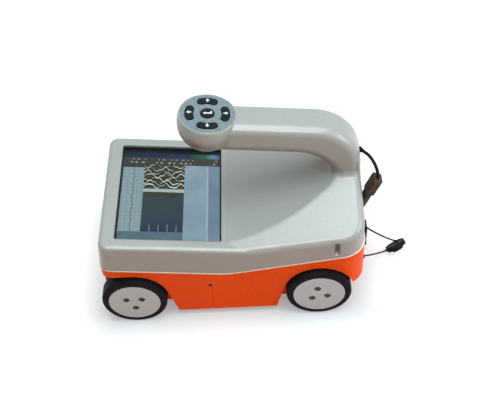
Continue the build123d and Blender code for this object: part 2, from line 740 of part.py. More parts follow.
nodes["base_tub"] = make_base()
nodes["wear_plate"] = make_wear_plate()
nodes["wear_plate_screws"] = group([
    Pos(x, y, BASE_BOTTOM - PLATE_THICKNESS) * countersunk(PLATE_THICKNESS + WALL, 0)
    for x, y in plate_screw_places()])
nodes["seam_gasket"] = make_gasket()
nodes["casing_screws"] = group([flute_screw(side, 0) for side in sides.values()] + [handle_screw(0)])


# Top casing and the cover under its grip
def pod_bore():
    """Stepped hole in the top of the pod: panel seat, key room, board ledge, then the hollow ball."""
    bore = Pos(0, 0, CUT - (PANEL_THICKNESS + CUT) / 2) * Cylinder(PANEL_R + SEAT, PANEL_THICKNESS + CUT)
    bore += Pos(0, 0, -board_low / 2) * Cylinder(PANEL_SKIRT_R + SEAT, board_low)
    bore += Pos(0, 0, -(board_low + POD_LEDGE) / 2) * Cylinder(POD_LEDGE_R, board_low + POD_LEDGE)
    ball = Pos(0, 0, -POD_PANEL_LIFT) * Sphere(POD_R - POD_WALL)
    bore += ball - Pos(0, 0, FAR / 2 - board_low - POD_LEDGE) * Box(FAR, FAR, FAR)
    return panel_frame * bore


def gland_shape(grow):
    x = back_x(gland_z)
    gland = rod_x(0, gland_z, GLAND_STEM_R + grow, x - GLAND_STEM, x)
    gland += Pos(x, 0, gland_z) * Sphere(GLAND_R + grow)
    return gland + sleeve(handle_lead, GLAND_TIP_R + grow, GLAND_STEM_R + grow, GLAND_R)


def plug_rod(radius, low, high):
    """A rod on the plug's axis between two heights above the floor of its pocket."""
    return plug_frame((low + high) / 2 - PLUG_SEAT) * Cylinder(radius, high - low)


def make_casing():
    handle_back = back_x(handle_screw_z)
    outer = box_form(0) + hump_form(0)
    outer += split(Pos(*pod_centre) * Sphere(POD_R), bisect_by=Plane(origin=panel_origin, z_dir=up),
                   keep=Keep.BOTTOM)
    shell = outer - hollow_form - pod_bore()
    for side in sides.values():
        shell += rod_z(FLUTE_X, side * flute_y, FLUTE_R + FLUTE_BOSS_WALL, 0, flute_z + FLUTE_HEIGHT) & outer
    boss_z = -(SCREEN_BOSS_ROOT + display_low) / 2
    hole_depth = SCREW_LENGTH - BRACKET_THICKNESS + CUT
    for x, y in bracket_places:
        boss = Pos(x, y, boss_z) * Cylinder(BOSS_R, display_low - SCREEN_BOSS_ROOT)
        hole = Pos(x, y, -display_low) * Cylinder(SCREW_R + SEAT, 2 * hole_depth)
        shell += deck_frame * boss
        shell -= deck_frame * hole
    shell += rod_x(0, handle_screw_z, BOSS_R, handle_back - HANDLE_BOSS, handle_back - WALL / 2)
    shell -= below_seam(0)
    screen = RectangleRounded(SCREEN_LENGTH, SCREEN_WIDTH, SCREEN_CORNER_R)
    shell -= deck_frame * extrude(screen, amount=2 * WALL, both=True)
    for side in sides.values():
        shell -= rod_z(FLUTE_X, side * flute_y, FLUTE_R, flute_z + FLUTE_FLOOR, flute_z + FLUTE_HEIGHT)
        shell -= flute_screw(side, SEAT)
    shell -= handle_screw(SEAT)
    shell -= rod_x(0, handle_screw_z, SCREW_HEAD_R + SEAT, handle_back - HANDLE_SCREW_SINK, FAR)
    shell -= plug_rod(PLUG_BARREL_R + PLUG_GAP, 0, FAR)
    shell -= plug_rod(PLUG_NOSE_R + SEAT, -PLUG_NOSE - SEAT, CUT)
    return shell - gland_shape(SEAT)


def cover_room(gap):
    """Underside of the handle between two cross cuts, up to a cut parallel to the handle."""
    depth = COVER_DEPTH - gap
    x0 = COVER_START_X + gap
    x1 = COVER_END_X - gap
    outline = Polyline((x0, handle_under_z(x0, depth)), (x1, handle_under_z(x1, depth)),
                       (x1, handle_under_z(x1, -CUT)), (x0, handle_under_z(x0, -CUT)), close=True)
    return side_slab(make_face(outline), HANDLE_HALF_WIDTH + CUT)


hollow_form = box_form(WALL) + hump_form(WALL)
casing = make_casing()
nodes["top_casing"] = casing - cover_room(0)
nodes["handle_under_cover"] = casing & cover_room(COVER_GAP)


# Screen stack, from the gasket under the casing's lip down to the main board
def deck_plate(length, width, top, thickness):
    return deck_frame * Pos(0, 0, -top - thickness / 2) * Box(length, width, thickness)


def make_bracket():
    top = Pos(0, 0, -display_low)
    plate = Rectangle(glass_length, glass_width)
    for x, y in bracket_places:
        plate += Pos(x, y) * Circle(BOSS_R)
        plate += Pos(x / 2, y) * Rectangle(abs(x), 2 * BOSS_R)
    for x, y in bracket_places:
        plate -= Pos(x, y) * Circle(SCREW_R + SEAT)
    bracket = extrude(plate, amount=-BRACKET_THICKNESS)
    spacer = Pos(0, 0, -BRACKET_THICKNESS - BOARD_SPACER / 2) * Cylinder(BOARD_SPACER_R, BOARD_SPACER)
    for sx in (-1, 1):
        for sy in (-1, 1):
            x = sx * (BOARD_LENGTH / 2 - BOARD_SPACER_R)
            y = sy * (BOARD_WIDTH / 2 - BOARD_SPACER_R)
            bracket += Pos(x, y, 0) * spacer
    return deck_frame * top * bracket


def make_display_screw(x, y):
    low = display_low + BRACKET_THICKNESS
    head = Pos(x, y, -low - SCREW_HEAD / 2) * Cylinder(SCREW_HEAD_R, SCREW_HEAD)
    return deck_frame * (head + Pos(x, y, SCREW_LENGTH / 2 - low) * Cylinder(SCREW_R, SCREW_LENGTH))


screen_gasket = deck_plate(glass_length, glass_width, WALL, SCREEN_GASKET)
nodes["screen_gasket"] = screen_gasket - deck_plate(SCREEN_LENGTH, SCREEN_WIDTH, WALL, SCREEN_GASKET)
nodes["screen_glass"] = deck_plate(glass_length, glass_width, glass_top, GLASS_THICKNESS)
nodes["display_panel"] = deck_plate(glass_length - 2 * DISPLAY_INSET, glass_width - 2 * DISPLAY_INSET,
                                    glass_top + GLASS_THICKNESS, DISPLAY_THICKNESS)
nodes["display_bracket"] = make_bracket()
nodes["display_screws"] = group([make_display_screw(x, y) for x, y in bracket_places])
nodes["main_board"] = deck_plate(BOARD_LENGTH, BOARD_WIDTH, display_low + BRACKET_THICKNESS + BOARD_SPACER,
                                 BOARD_THICKNESS)


# Keys: four curved direction keys about a round enter key, all held by flanges under the panel
def key_outline(name, grow):
    if name == "enter":
        return Circle(ENTER_R + grow)
    arc = CenterArc((0, 0), KEY_ARC_R, KEY_TURN[name] - KEY_HALF_ANGLE, 2 * KEY_HALF_ANGLE)
    return SlotArc(arc, KEY_WIDTH + 2 * grow)


def make_key(name):
    cap = extrude(key_outline(name, 0), amount=KEY_PROUD + PANEL_THICKNESS + KEY_FLANGE_GAP)
    cap = fillet(cap.edges().group_by(Axis.Z)[-1], KEY_ROUND)
    flange = extrude(key_outline(name, KEY_FLANGE_LIP), amount=-KEY_FLANGE)
    return panel_frame * Pos(0, 0, -PANEL_THICKNESS - KEY_FLANGE_GAP) * (cap + flange)


def pod_disc(radius, top, thickness):
    return panel_frame * Pos(0, 0, -top - thickness / 2) * Cylinder(radius, thickness)


def make_panel():
    panel = pod_disc(PANEL_R, 0, PANEL_THICKNESS) + pod_disc(PANEL_SKIRT_R, PANEL_THICKNESS, PANEL_SKIRT)
    panel -= pod_disc(PANEL_SKIRT_R - PANEL_SKIRT_WALL, PANEL_THICKNESS, PANEL_SKIRT)
    for name in KEY_TURN:
        panel -= panel_frame * extrude(key_outline(name, KEY_GAP), amount=-2 * PANEL_THICKNESS, both=True)
    return panel


nodes["keypad_panel"] = make_panel()
for name in KEY_TURN:
    nodes[f"key_{name}"] = make_key(name)
nodes["key_membrane"] = pod_disc(PANEL_SKIRT_R, PANEL_THICKNESS + PANEL_SKIRT, MEMBRANE_THICKNESS)
nodes["keypad_board"] = pod_disc(PANEL_SKIRT_R, board_low - KEY_BOARD_THICKNESS, KEY_BOARD_THICKNESS)
nodes["handle_cable"] = tube("handle_cable", handle_cable, LEAD_R)


# Lead from the handle to its plug in the rear wall
def make_plug():
    pin = plug_rod(PLUG_NOSE_R, -PLUG_NOSE, 0) + plug_rod(PLUG_BARREL_R, 0, PLUG_BARREL)
    grip = extrude(RectangleRounded(PLUG_GRIP_WIDTH, PLUG_GRIP_DEPTH, PLUG_GRIP_R), amount=PLUG_GRIP)
    grip = chamfer(grip.edges().group_by(Axis.Z)[-1] + grip.edges().group_by(Axis.Z)[0], PLUG_GRIP_EDGE)
    pin += plug_frame(PLUG_BARREL - PLUG_SEAT) * grip
    return pin + sleeve(handle_lead[::-1], PLUG_BOOT_TIP_R, PLUG_BOOT_R, PLUG_BOOT)


def make_socket():
    """Liner of the slanted pocket behind the rear wall, with the contacts' bore in its floor."""
    body = plug_rod(PLUG_BARREL_R + PLUG_GAP + SOCKET_WALL, -SOCKET_FLOOR, SOCKET_REACH) & hollow_form
    body -= plug_rod(PLUG_BARREL_R + PLUG_GAP, 0, FAR)
    return body - plug_rod(PLUG_NOSE_R + SEAT, -PLUG_NOSE - SEAT, CUT)


nodes["lead_gland"] = gland_shape(0)
nodes["handle_lead"] = tube("handle_lead", handle_lead, LEAD_R)
nodes["lead_plug"] = make_plug()
nodes["lead_socket"] = make_socket()


# Dust cap with its plug side down, on its rim, held up by the two strands of its tether
def make_cap():
    disc = Pos(0, 0, CAP_THICKNESS / 2) * Cylinder(CAP_R, CAP_THICKNESS)
    disc -= Pos(0, 0, CAP_THICKNESS) * Cylinder(CAP_R - CAP_LIP, 2 * CAP_DISH)
    knurl = Pos(CAP_R + CAP_KNURL_OUT, 0, 0) * Cylinder(CAP_KNURL_R, FAR)
    for index in range(CAP_KNURLS):
        disc -= Rot(0, 0, 360 * index / CAP_KNURLS) * knurl
    disc += Pos(0, 0, -CAP_PEG / 2) * Cylinder(CAP_PEG_R, CAP_PEG)
    cap = cap_frame * disc
    for route in (TETHER_UPPER, TETHER_LOWER):
        cap += sleeve(route[::-1], CAP_LUG_TIP_R, CAP_LUG_R, CAP_LUG)
    return cap


def make_post():
    post = Pos(BASE_REAR_X + CLEAT_PROUD / 2, CLEAT_Y, CLEAT_Z) * Box(CLEAT_PROUD, CLEAT_WIDTH, CLEAT_HEIGHT)
    post = fillet(post.edges().filter_by(Axis.X), CLEAT_ROUND)
    start = Vector(*TETHER_UPPER[0])
    slant = Plane(origin=start, z_dir=Vector(*TETHER_UPPER[1]) - start)
    return split(post, bisect_by=slant, keep=Keep.BOTTOM)


def make_anchor():
    anchor = rod_x(ANCHOR_Y, ANCHOR_Z, ANCHOR_STEM_R, inner_wall, BASE_REAR_X)
    dome = Pos(BASE_REAR_X, ANCHOR_Y, ANCHOR_Z) * Sphere(ANCHOR_R)
    dome += sleeve(TETHER_LOWER, ANCHOR_TIP_R, ANCHOR_STEM_R, ANCHOR_R)
    return anchor + (dome & block(BASE_REAR_X, FAR, -FAR, FAR, 0, FAR))


nodes["dust_cap"] = make_cap()
nodes["cap_tether_upper"] = tube("cap_tether_upper", TETHER_UPPER, TETHER_R)
nodes["cap_tether_lower"] = tube("cap_tether_lower", TETHER_LOWER, TETHER_R)
nodes["tether_post"] = make_post()
nodes["tether_anchor"] = make_anchor()


# Power button and its switch behind the rear wall
def make_button():
    seat = inner_wall - KEY_FLANGE_GAP
    cap = rod_x(BUTTON_Y, BUTTON_Z, BUTTON_R, seat, BASE_REAR_X + BUTTON_PROUD)
    cap = fillet(cap.edges().sort_by(Axis.X)[-1], BUTTON_ROUND)
    return cap + rod_x(BUTTON_Y, BUTTON_Z, BUTTON_R + BUTTON_LIP, seat - BUTTON_FLANGE, seat)


def make_switch():
    front = inner_wall - BUTTON_FLANGE - KEY_FLANGE_GAP - BUTTON_TRAVEL - BUTTON_STOP_GAP
    bore = BUTTON_R + BUTTON_LIP + KEY_GAP
    collar = rod_x(BUTTON_Y, BUTTON_Z, bore + SWITCH_COLLAR_WALL, front, inner_wall)
    collar -= rod_x(BUTTON_Y, BUTTON_Z, bore, front, inner_wall)
    body = Pos(front - SWITCH_DEPTH / 2, BUTTON_Y, BUTTON_Z) * Box(SWITCH_DEPTH, SWITCH_SIZE, SWITCH_SIZE)
    return collar + body


nodes["power_button"] = make_button()
nodes["power_switch"] = make_switch()


# Battery in its tray behind the flap door
def make_tray():
    outer = block(tray_x0, tray_x1, bay_y0 - TRAY_WALL, bay_y1 + TRAY_WALL, BATTERY_FLOOR_Z - TRAY_WALL,
                  bay_top + TRAY_WALL)
    return outer - block(tray_x0 + TRAY_WALL, FAR, bay_y0, bay_y1, BATTERY_FLOOR_Z, bay_top)


def make_battery():
    place = Pos(tray_x1 - BATTERY_LENGTH / 2, BATTERY_Y, BATTERY_FLOOR_Z + BATTERY_HEIGHT / 2)
    pack = place * Box(BATTERY_LENGTH, BATTERY_WIDTH, BATTERY_HEIGHT)
    return fillet(pack.edges().filter_by(Axis.X), BATTERY_ROUND)


def make_door():
    door = block(BASE_REAR_X - DOOR_THICKNESS, BASE_REAR_X, door_y0, door_y1, door_z0, hinge_z)
    door += rod_y(hinge_x, hinge_z, HINGE_R, door_y0, door_y1)
    grip_z = door_z0 + DOOR_GRIP_R
    door -= Pos(BASE_REAR_X + DOOR_GRIP_R - DOOR_GRIP_DEPTH, BATTERY_Y, grip_z) * Sphere(DOOR_GRIP_R)
    return door - rod_y(hinge_x, hinge_z, HINGE_PIN_R + RUN, door_y0, door_y1)


nodes["battery_tray"] = make_tray()
nodes["battery_pack"] = make_battery()
nodes["battery_door"] = make_door()
nodes["battery_door_pin"] = rod_y(hinge_x, hinge_z, HINGE_PIN_R, pin_y0, pin_y1)


# Wheelsets: two wheels keyed to an axle that turns in flanged bushes
def make_axle(end):
    axle = rod_y(axle_x[end], TYRE_R, AXLE_R, -rim_y1, rim_y1)
    for side in sides.values():
        axle += rod_y(axle_x[end], TYRE_R, COLLAR_R, side * (collar_y - COLLAR_WIDTH), side * collar_y)
    return axle


def make_bush(end, side):
    x = axle_x[end]
    bush = rod_y(x, TYRE_R, BUSH_R, side * bush_y0, side * well_y)
    bush += rod_y(x, TYRE_R, BUSH_FLANGE_R, side * well_y, side * (well_y + BUSH_FLANGE))
    return bush - rod_y(x, TYRE_R, AXLE_R + RUN, 0, side * FAR)


def turned(end, side, section):
    """A ring turned about an axle from a half section: radius across, distance from the middle up."""
    ring = revolve(section, axis=Axis.Y)
    if side < 0:
        ring = mirror(ring, about=Plane.XZ)
    return Pos(axle_x[end], 0, TYRE_R) * ring


def hub_screws(end, side, grow):
    """Socket screws through a hub disc, each head let into its face."""
    head_y = TRACK_HALF - HUB_SCREW_HEAD - grow
    tip_y = TRACK_HALF - HUB_SCREW_LENGTH - grow
    screws = []
    for index in range(HUB_SCREW_COUNT):
        turn = radians(SCREW_TURN[end] + 360 / HUB_SCREW_COUNT * index)
        x = axle_x[end] + HUB_SCREW_CIRCLE_R * cos(turn)
        z = TYRE_R + HUB_SCREW_CIRCLE_R * sin(turn)
        screw = rod_y(x, z, HUB_SCREW_HEAD_R + grow, side * head_y, side * TRACK_HALF)
        screw += rod_y(x, z, HUB_SCREW_R + grow, side * tip_y, side * TRACK_HALF)
        if not grow:
            screw -= rod_y(x, z, HUB_SCREW_SOCKET_R, side * (TRACK_HALF - HUB_SCREW_HEAD / 2), side * FAR)
        screws.append(screw)
    return screws


def make_rim(end, side):
    """Barrel, web and hub in one section."""
    web_y = rim_y1 - RIM_WEB
    section = Polyline((AXLE_R, rim_y0), (HUB_R, rim_y0), (HUB_R, web_y), (RIM_R - RIM_WALL, web_y),
                       (RIM_R - RIM_WALL, rim_y0), (RIM_R, rim_y0), (RIM_R, rim_y1), (AXLE_R, rim_y1),
                       close=True)
    rim = turned(end, side, make_face(section))
    for screw in hub_screws(end, side, SEAT):
        rim -= screw
    return rim


def make_tyre(end, side):
    """Round-shouldered tread with a seat for the rim and a wider one for the hub disc."""
    outline = Polyline((RIM_R, tyre_y0), (TYRE_R, tyre_y0), (TYRE_R, TRACK_HALF), (DISC_R, TRACK_HALF),
                       (DISC_R, rim_y1), (RIM_R, rim_y1), close=True)
    section = make_face(outline)
    shoulders = [corner for corner in section.vertices() if same(corner.X, TYRE_R)]
    return turned(end, side, fillet(shoulders, TYRE_SHOULDER_R))


def make_disc(end, side):
    disc = rod_y(axle_x[end], TYRE_R, DISC_R, side * rim_y1, side * TRACK_HALF)
    for screw in hub_screws(end, side, SEAT):
        disc -= screw
    return disc


for end in axle_x:
    nodes[f"{end}_axle"] = make_axle(end)
    nodes[f"{end}_hub_screws"] = group(hub_screws(end, -1, 0) + hub_screws(end, 1, 0))
    for place, side in sides.items():
        nodes[f"{end}_{place}_rim"] = make_rim(end, side)
        nodes[f"{end}_{place}_tyre"] = make_tyre(end, side)
        nodes[f"{end}_{place}_hub_disc"] = make_disc(end, side)
nodes["axle_bushes"] = group([make_bush(end, side) for end in axle_x for side in sides.values()])


# Wheel encoder on the rear axle
def make_encoder_disc():
    disc = Cylinder(ENCODER_R, ENCODER_THICKNESS) + Cylinder(ENCODER_HUB_R, ENCODER_HUB_WIDTH)
    slot = Box(ENCODER_SLOT_LENGTH, ENCODER_SLOT_WIDTH, 2 * ENCODER_THICKNESS)
    for index in range(ENCODER_SLOTS):
        disc -= Rot(0, 0, 360 * index / ENCODER_SLOTS) * Pos(ENCODER_R - ENCODER_SLOT_LENGTH, 0, 0) * slot
    disc -= Cylinder(AXLE_R, ENCODER_HUB_WIDTH)
    return Pos(axle_x["rear"], ENCODER_Y, TYRE_R) * Rot(90, 0, 0) * disc


def make_encoder_sensor():
    """Forked light gate that straddles the disc's edge, on a foot on the floor."""
    reach = axle_x["rear"] - ENCODER_R + SENSOR_REACH
    half = ENCODER_THICKNESS / 2 + SENSOR_GAP
    edge = axle_x["rear"] - ENCODER_R - SENSOR_GAP
    y0 = ENCODER_Y - half - SENSOR_ARM
    y1 = ENCODER_Y + half + SENSOR_ARM
    low = TYRE_R - SENSOR_HALF_HEIGHT
    sensor = block(edge - SENSOR_BACK, reach, y0, y1, low, TYRE_R + SENSOR_HALF_HEIGHT)
    sensor -= block(edge, reach, ENCODER_Y - half, ENCODER_Y + half, 0, FAR)
    return sensor + block(edge - SENSOR_BACK, edge, y0, y1, floor_z, low)


nodes["encoder_disc"] = make_encoder_disc()
nodes["encoder_sensor"] = make_encoder_sensor()


# Radar: antenna board on the floor under its shield, electronics on top, and the side mark lasers
def make_shield():
    outer = block(SHIELD_START_X, SHIELD_END_X, -SHIELD_HALF_WIDTH, SHIELD_HALF_WIDTH, floor_z, shield_top)
    inner_y = SHIELD_HALF_WIDTH - SHIELD_WALL
    return outer - block(SHIELD_START_X + SHIELD_WALL, SHIELD_END_X - SHIELD_WALL, -inner_y, inner_y,
                         0, shield_top - SHIELD_WALL)


def make_laser(side):
    wall_y = HALF_WIDTH - WALL
    body = rod_y(MARK_X, LASER_Z, LASER_R, side * (wall_y - LASER_LENGTH), side * wall_y)
    return body + rod_y(MARK_X, LASER_Z, LASER_NOSE_R, side * wall_y, side * (HALF_WIDTH - LASER_SINK))


antenna_edge = SHIELD_WALL + ANTENNA_MARGIN
nodes["antenna_shield"] = make_shield()
nodes["antenna_board"] = block(SHIELD_START_X + antenna_edge, SHIELD_END_X - antenna_edge,
                               antenna_edge - SHIELD_HALF_WIDTH, SHIELD_HALF_WIDTH - antenna_edge,
                               floor_z, floor_z + BOARD_THICKNESS)
radar_x = (SHIELD_START_X + SHIELD_END_X) / 2
nodes["radar_module"] = block(radar_x - RADAR_LENGTH / 2, radar_x + RADAR_LENGTH / 2, -RADAR_WIDTH / 2,
                              RADAR_WIDTH / 2, shield_top, shield_top + RADAR_HEIGHT)
nodes["laser_modules"] = group([make_laser(side) for side in sides.values()])

os.makedirs("parts", exist_ok=True)
for name, solid in nodes.items():
    export_step(solid, f"parts/{name}.step")
print(len(nodes), "nodes")
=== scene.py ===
from math import cos, radians, sin

import bpy
import numpy as np
from mathutils import Matrix, Vector


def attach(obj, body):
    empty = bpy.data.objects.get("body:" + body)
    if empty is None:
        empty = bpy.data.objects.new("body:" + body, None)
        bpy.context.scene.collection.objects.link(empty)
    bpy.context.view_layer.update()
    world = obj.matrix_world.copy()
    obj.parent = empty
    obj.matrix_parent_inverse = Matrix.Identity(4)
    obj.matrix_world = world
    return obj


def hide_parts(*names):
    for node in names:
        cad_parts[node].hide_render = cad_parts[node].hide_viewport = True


# Looks of the handheld concrete scanning radar: a silver casing with a sunk screen, a handle with a
# round key pod, an orange base on four wheels, a lead with its plug and a dust cap on two tethers.
# Sizes are in millimetres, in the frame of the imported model, and MM turns them to metres.
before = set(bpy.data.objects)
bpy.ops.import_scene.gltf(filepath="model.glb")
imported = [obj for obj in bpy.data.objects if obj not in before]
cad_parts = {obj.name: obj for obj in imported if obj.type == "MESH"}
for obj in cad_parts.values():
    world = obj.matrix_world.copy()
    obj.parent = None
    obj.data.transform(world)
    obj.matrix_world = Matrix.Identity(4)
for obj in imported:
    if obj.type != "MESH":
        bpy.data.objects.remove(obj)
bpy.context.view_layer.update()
scene = bpy.context.scene
scene.view_settings.view_transform = "Standard"
MM = 0.001

# The deck and the key panel lean to the rear by one angle: UP stands square to them, BACK runs along
# them to the rear and SIDE to the far side
TILT = radians(6.5)
UP = np.array([sin(TILT), 0.0, cos(TILT)])
BACK = np.array([cos(TILT), 0.0, -sin(TILT)])
SIDE = np.array([0.0, 1.0, 0.0])


def linear(hex_colour):
    """An sRGB hex colour as linear red, green, blue and full alpha."""
    parts = np.array([int(hex_colour[i:i + 2], 16) for i in (1, 3, 5)]) / 255
    light = np.where(parts <= 0.04045, parts / 12.92, ((parts + 0.055) / 1.055) ** 2.4)
    return (*light.tolist(), 1.0)


def per(size):
    """Scale of a texture whose features are about this many millimetres wide."""
    return 1 / (size * MM)


# Camera at the photograph's viewing angle

CAMERA_PLACE = Vector((32.4, -545.8, 681.2)) * MM
CAMERA_AZIMUTH = radians(1.61)
CAMERA_ELEVATION = radians(48.1)
CAMERA_ROLL = radians(-3.93)
CAMERA_LENS = 62.58
CAMERA_SENSOR = 36.0


def place_camera():
    """Looks down at the near side, turned a little about its own axis as the photograph is."""
    behind = Vector((sin(CAMERA_AZIMUTH) * cos(CAMERA_ELEVATION),
                     -cos(CAMERA_AZIMUTH) * cos(CAMERA_ELEVATION), sin(CAMERA_ELEVATION)))
    right = Vector((cos(CAMERA_AZIMUTH), sin(CAMERA_AZIMUTH), 0.0))
    above = behind.cross(right)
    across = right * cos(CAMERA_ROLL) + above * sin(CAMERA_ROLL)
    upward = above * cos(CAMERA_ROLL) - right * sin(CAMERA_ROLL)
    made = bpy.data.cameras.new("camera")
    made.lens = CAMERA_LENS
    made.sensor_width = CAMERA_SENSOR
    camera = bpy.data.objects.new("camera", made)
    turn = Matrix((across, upward, behind)).transposed().to_4x4()
    camera.matrix_world = Matrix.Translation(CAMERA_PLACE) @ turn
    scene.collection.objects.link(camera)
    scene.camera = camera


place_camera()


# Materials

PATCH_SIZE = 30.0
PATCH_SWING = 0.06
HANDLE_SCREW_HEIGHT = 110.0

# Most of a noise texture's values lie between these two
NOISE_LOW = 0.3
NOISE_HIGH = 0.7


def add(tree, kind, links=None, **settings):
    """Adds one node. settings are its own properties; links gives each input socket, by name or
    number, a constant or the (node, output) that feeds it. A colour Mix has its factor at 0, its two
    colours at 6 and 7 and its result at 2."""
    made = tree.nodes.new(kind)
    for name, value in settings.items():
        setattr(made, name, value)
    for socket, value in (links or {}).items():
        if isinstance(value, tuple) and isinstance(value[0], bpy.types.Node):
            tree.links.new(value[0].outputs[value[1]], made.inputs[socket])
        else:
            made.inputs[socket].default_value = value
    return made


def new_material(name):
    """A material with no nodes yet, and its node tree."""
    made = bpy.data.materials.new(name)
    made.use_nodes = True
    made.node_tree.nodes.clear()
    return made, made.node_tree


def moulded(name, colour, tone, roughness, grain, depth, metallic=0.0, shine=0.5, contrast=(0.35, 0.65)):
    """A moulded, cast or machined surface: two near tones spread by a grain of a real size in
    millimetres, the same grain as relief of a real depth, and broad soft patches of sheen left by
    handling. contrast is the part of the grain over which one tone turns to the other."""
    made, tree = new_material(name)
    place = add(tree, "ShaderNodeTexCoord")
    noise = add(tree, "ShaderNodeTexNoise", {
        "Vector": (place, "Object"), "Scale": per(grain), "Detail": 2.0})
    spread = add(tree, "ShaderNodeMapRange", {0: (noise, 0), 1: contrast[0], 2: contrast[1]})
    tint = add(tree, "ShaderNodeMix", {
        0: (spread, 0), 6: linear(colour), 7: linear(tone)}, data_type="RGBA")
    patches = add(tree, "ShaderNodeTexNoise", {
        "Vector": (place, "Object"), "Scale": per(PATCH_SIZE), "Detail": 3.0})
    sheen = add(tree, "ShaderNodeMapRange", {
        0: (patches, 0), 1: NOISE_LOW, 2: NOISE_HIGH, 3: roughness - PATCH_SWING, 4: roughness + PATCH_SWING})
    relief = add(tree, "ShaderNodeBump", {
        "Height": (noise, 0), "Strength": 0.5, "Distance": depth * MM})
    shader = add(tree, "ShaderNodeBsdfPrincipled", {
        "Base Color": (tint, 2), "Roughness": (sheen, 0), "Normal": (relief, 0), "Metallic": metallic,
        "Specular IOR Level": shine})
    add(tree, "ShaderNodeOutputMaterial", {"Surface": (shader, 0)})
    return made


def silver_paint():
    """Satin metallic paint on moulded ABS: fine bright flakes in a warm grey, a soft orange peel and a
    thin clear coat. The flakes are drawn coarser than they are, so that they show. The paint fills
    the creases a little and rounds the edges, which the bevelled normal gives."""
    made, tree = new_material("satin_silver_paint")
    place = add(tree, "ShaderNodeTexCoord")
    flakes = add(tree, "ShaderNodeTexNoise", {
        "Vector": (place, "Object"), "Scale": per(0.9), "Detail": 1.0})
    glint = add(tree, "ShaderNodeMapRange", {0: (flakes, 0), 1: NOISE_LOW, 2: NOISE_HIGH})
    tint = add(tree, "ShaderNodeMix", {
        0: (glint, 0), 6: linear("#999C98"), 7: linear("#A2A5A1")}, data_type="RGBA")
    patches = add(tree, "ShaderNodeTexNoise", {
        "Vector": (place, "Object"), "Scale": per(45.0), "Detail": 3.0})
    sheen = add(tree, "ShaderNodeMapRange", {
        0: (patches, 0), 1: NOISE_LOW, 2: NOISE_HIGH, 3: 0.34, 4: 0.44})
    peel = add(tree, "ShaderNodeTexNoise", {
        "Vector": (place, "Object"), "Scale": per(2.2), "Detail": 1.0})
    soft = add(tree, "ShaderNodeBevel", {"Radius": 2.5 * MM}, samples=6)
    relief = add(tree, "ShaderNodeBump", {
        "Height": (peel, 0), "Strength": 0.12, "Distance": 0.15 * MM, "Normal": (soft, 0)})
    shader = add(tree, "ShaderNodeBsdfPrincipled", {
        "Base Color": (tint, 2), "Roughness": (sheen, 0), "Normal": (relief, 0), "Metallic": 0.13,
        "Specular IOR Level": 0.1, "Coat Weight": 0.6, "Coat Roughness": 0.2})
    add(tree, "ShaderNodeOutputMaterial", {"Surface": (shader, 0)})
    return made


def screw_steel():
    """Casing screws, told apart by height: zinc-plated steel in the flutes, which is pale with a soft
    mottle, and black oxide in the handle, which is a dark dot."""
    made, tree = new_material("zinc_and_black_screw_steel")
    place = add(tree, "ShaderNodeTexCoord")
    split = add(tree, "ShaderNodeSeparateXYZ", {0: (place, "Object")})
    in_handle = add(tree, "ShaderNodeMath", {
        0: (split, 2), 1: HANDLE_SCREW_HEIGHT * MM}, operation="GREATER_THAN")
    mottle = add(tree, "ShaderNodeTexNoise", {
        "Vector": (place, "Object"), "Scale": per(0.8), "Detail": 2.0})
    zinc = add(tree, "ShaderNodeMix", {
        0: (mottle, 0), 6: linear("#B4B9BC"), 7: linear("#D8DCDE")}, data_type="RGBA")
    tint = add(tree, "ShaderNodeMix", {
        0: (in_handle, 0), 6: (zinc, 2), 7: linear("#17181A")}, data_type="RGBA")
    sheen = add(tree, "ShaderNodeMapRange", {
        0: (mottle, 0), 1: NOISE_LOW, 2: NOISE_HIGH, 3: 0.38, 4: 0.5})
    shader = add(tree, "ShaderNodeBsdfPrincipled", {
        "Base Color": (tint, 2), "Roughness": (sheen, 0), "Metallic": 0.3, "Specular IOR Level": 0.2})
    add(tree, "ShaderNodeOutputMaterial", {"Surface": (shader, 0)})
    return made


def etched_glass():
    """Etched anti-glare glass over the display: clear and a little cool, with a broad soft veil of light
    in place of a mirror image, and faint smears. The coat is the etched face, and the low index of
    the body keeps the picture dark behind a white room."""
    made, tree = new_material("etched_anti_glare_glass")
    place = add(tree, "ShaderNodeTexCoord")
    smears = add(tree, "ShaderNodeTexNoise", {
        "Vector": (place, "Object"), "Scale": per(18.0), "Detail": 4.0})
    haze = add(tree, "ShaderNodeMapRange", {0: (smears, 0), 1: 0.4, 2: 0.8, 3: 0.0, 4: 0.05})
    shader = add(tree, "ShaderNodeBsdfPrincipled", {
        "Base Color": linear("#F6FAFA"), "Roughness": (haze, 0), "Transmission Weight": 1.0, "IOR": 1.02,
        "Coat Weight": 0.25, "Coat Roughness": 0.5})
    add(tree, "ShaderNodeOutputMaterial", {"Surface": (shader, 0)})
    return made


# The casing's paint and the window over the display
silver = silver_paint()
glass = etched_glass()

# Moulded ABS: one strong colour all through, a low sheen and the fine grain of its mould
orange = moulded("orange_moulded_abs", "#F85208", "#FF5E10", 0.5, 0.8, 0.03, shine=0.2)

# Silicone cord in the seam: a thin warm white line, dull and soft
pale_seal = moulded("pale_silicone_seal", "#EFE6DC", "#F8F1E8", 0.6, 1.2, 0.02)

# Closed-cell foam under the window: a black line without any shine
black_seal = moulded("black_foam_seal", "#151718", "#1E2021", 0.8, 0.6, 0.05)

# Black print behind the window: almost no light comes back, and what does is blue
display_black = moulded("black_display_bezel", "#05070F", "#090D18", 0.35, 1.5, 0.01)

# Polycarbonate sheet printed on its back: slate blue with a pale speckle
panel_blue_grey = moulded("speckled_blue_grey_panel", "#52626A", "#84949A", 0.5, 1.0, 0.03)

# Silicone keys: black and matt, with a slight green cast
key_rubber = moulded("black_key_rubber", "#0A0F11", "#1A2225", 0.55, 0.9, 0.02, shine=0.12)

